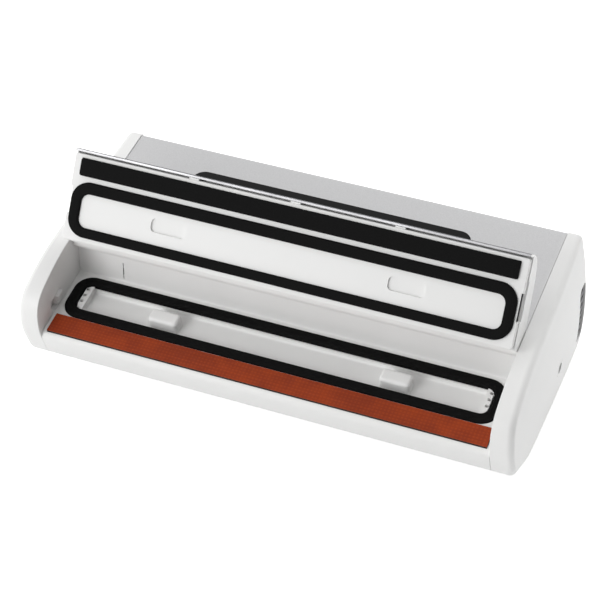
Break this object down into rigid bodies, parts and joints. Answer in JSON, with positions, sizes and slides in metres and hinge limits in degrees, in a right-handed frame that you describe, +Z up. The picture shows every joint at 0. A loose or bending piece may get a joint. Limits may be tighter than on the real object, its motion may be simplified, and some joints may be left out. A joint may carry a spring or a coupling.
{
  "type": "vacuum sealer",
  "caption": "Long low countertop vacuum sealer with a hinged lid, gasketed suction chamber, heated seal strip and rear control panel, standing open for a bag.",
  "frame": {"origin": "on the table under the middle of the body, level with the undersides of the feet", "axes": "+X along the seal strip to the user's right, +Y away from the user, +Z up"},
  "size_m": [0.361, 0.188, 0.1594],
  "materials": {
    "white_plastic": "glossy moulded ABS",
    "silver_panel": "satin silver painted ABS",
    "black_gloss": "gloss black acrylic",
    "clear_lens": "diffused clear polycarbonate",
    "circuit_board": "solder mask on glass epoxy",
    "black_plastic": "moulded matt black",
    "foot_rubber": "moulded rubber",
    "steel": "zinc plated",
    "heat_resistant_plastic": "moulded phenolic",
    "ptfe_tape": "PTFE coated glass cloth",
    "gasket_rubber": "moulded silicone rubber",
    "contact_brass": "turned brass",
    "grey_plastic": "moulded",
    "hose_silicone": "translucent silicone"
  },
  "bodies": {
    "base": {"base_pan": "white_plastic", "front_housing": "white_plastic", "left_end_cap": "white_plastic", "right_end_cap": "white_plastic", "rear_cover": "white_plastic", "rear_top_panel": "silver_panel", "control_window": "black_gloss", "indicator_lenses": "clear_lens", "control_board": "circuit_board", "key_switches": "black_plastic", "rubber_feet": "foot_rubber", "base_screws": "steel", "seal_bar": "heat_resistant_plastic", "heating_wire": "steel", "ptfe_tape": "ptfe_tape", "lower_gasket": "gasket_rubber", "chamber_tray": "white_plastic", "bag_stops": "white_plastic", "accessory_port": "white_plastic", "mains_inlet": "black_plastic", "inlet_pins": "contact_brass", "side_vents": "black_plastic", "hinge_pins": "steel", "lock_solenoid": "steel", "pump_motor": "steel", "pump_head": "grey_plastic", "pump_diaphragm": "gasket_rubber", "pump_bracket": "steel", "manifold": "grey_plastic", "tray_hoses": "hose_silicone", "pump_hose": "hose_silicone", "port_hose": "hose_silicone", "release_valve": "steel", "vacuum_sensor": "black_plastic", "power_board": "circuit_board", "transformer": "steel", "capacitors": "black_plastic", "lid_switch": "black_plastic"},
    "lid": {"lid_shell": "white_plastic", "lid_cover": "silver_panel", "lid_inner_panel": "white_plastic", "upper_gasket": "gasket_rubber", "press_strip": "gasket_rubber"},
    "lock": {"lock_hooks": "white_plastic", "lock_bar": "steel"},
    "crank": {"pump_crank": "steel"},
    "vacuum_key": {"vacuum_key": "black_gloss"},
    "seal_key": {"seal_key": "black_gloss"},
    "pulse_key": {"pulse_key": "black_gloss"},
    "mode_key": {"mode_key": "black_gloss"},
    "cancel_key": {"cancel_key": "black_gloss"}
  },
  "joints": [
    {"name": "lid_hinge", "type": "hinge", "parent": "base", "child": "lid", "pos_m": [0, -0.03212, 0.08869], "axis": [1, 0, 0], "range_deg": [0, 130]},
    {"name": "lock_slide", "type": "slide", "parent": "base", "child": "lock", "axis": [0, -0.9803, -0.1975], "range_m": [0, 0.0075], "stiffness_N_per_m": 300, "springref_m": -0.004},
    {"name": "vacuum_key_press", "type": "slide", "parent": "base", "child": "vacuum_key", "axis": [0, 0.1332, -0.9911], "range_m": [0, 0.0012], "stiffness_N_per_m": 400, "springref_m": -0.001},
    {"name": "seal_key_press", "type": "slide", "parent": "base", "child": "seal_key", "axis": [0, 0.1332, -0.9911], "range_m": [0, 0.0012], "stiffness_N_per_m": 400, "springref_m": -0.001},
    {"name": "pulse_key_press", "type": "slide", "parent": "base", "child": "pulse_key", "axis": [0, 0.1332, -0.9911], "range_m": [0, 0.0012], "stiffness_N_per_m": 400, "springref_m": -0.001},
    {"name": "mode_key_press", "type": "slide", "parent": "base", "child": "mode_key", "axis": [0, 0.1332, -0.9911], "range_m": [0, 0.0012], "stiffness_N_per_m": 400, "springref_m": -0.001},
    {"name": "cancel_key_press", "type": "slide", "parent": "base", "child": "cancel_key", "axis": [0, 0.1332, -0.9911], "range_m": [0, 0.0012], "stiffness_N_per_m": 400, "springref_m": -0.001},
    {"name": "crank_spin", "type": "hinge", "parent": "base", "child": "crank", "pos_m": [-0.05, 0.045, 0.033], "axis": [1, 0, 0], "continuous": true}
  ]
}
